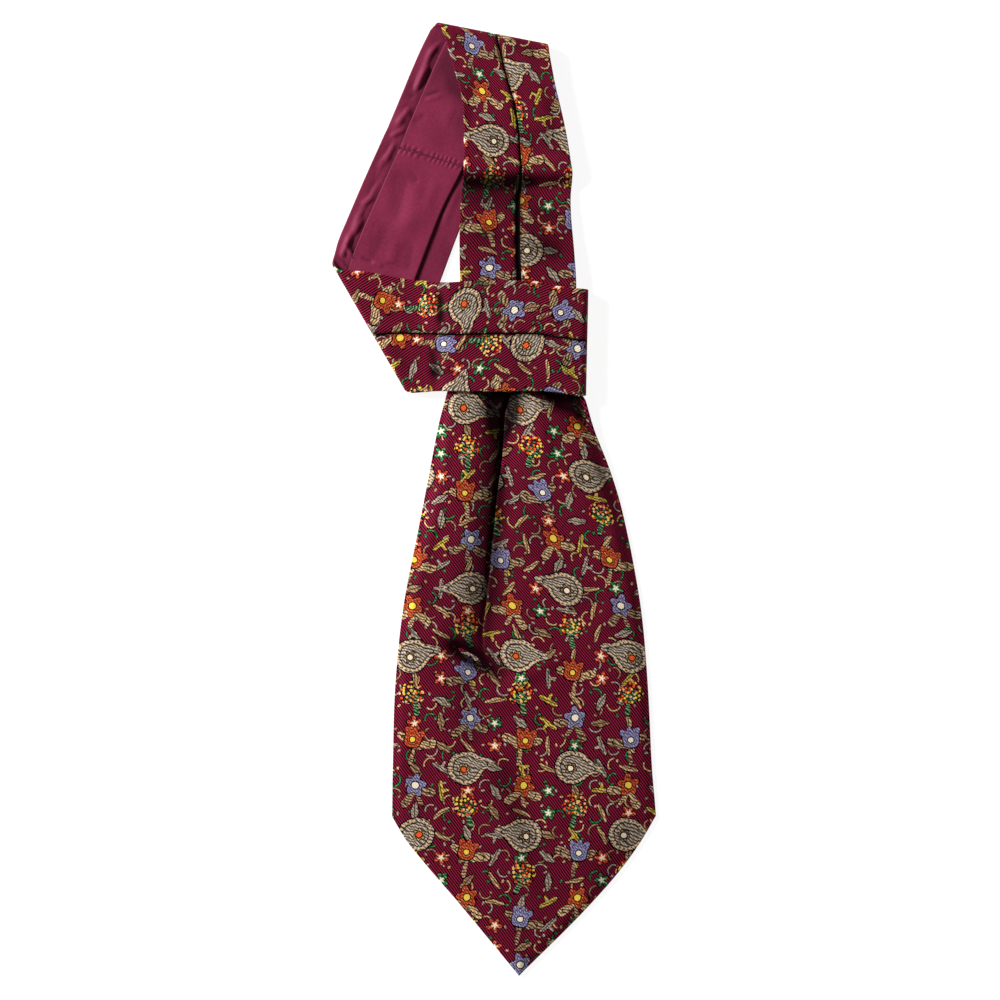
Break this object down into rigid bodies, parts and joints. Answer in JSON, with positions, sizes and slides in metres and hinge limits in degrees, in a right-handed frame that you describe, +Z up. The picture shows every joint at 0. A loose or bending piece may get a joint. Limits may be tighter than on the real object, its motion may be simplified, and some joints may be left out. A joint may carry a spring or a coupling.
{
  "type": "silk cravat",
  "caption": "Wide pointed silk cravat laid flat, with its pleated, satin-lined neckband looped behind and folded across the front blade.",
  "frame": {"origin": "middle of the outline, on the surface that the cravat lies on", "axes": "+Y towards the top of the neckband's loop, +Z up from the surface, +X to the right as seen from above"},
  "size_m": [0.1878, 0.5524, 0.0103],
  "materials": {
    "silk_twill": "printed silk twill with a soft sheen",
    "satin_lining": "burgundy satin lining"
  },
  "bodies": {
    "root": {"front_blade": "silk_twill", "neck_left_panel": "silk_twill", "neck_right_panel": "silk_twill", "neck_underlay": "satin_lining", "rear_left_panel": "silk_twill", "rear_right_panel": "silk_twill", "rear_underlay_upper": "satin_lining", "rear_underlay_lower": "satin_lining", "cross_upper_panel": "silk_twill", "cross_lower_panel": "silk_twill", "cross_underlay": "satin_lining", "wrap": "silk_twill", "under_blade": "silk_twill"}
  },
  "joints": []
}
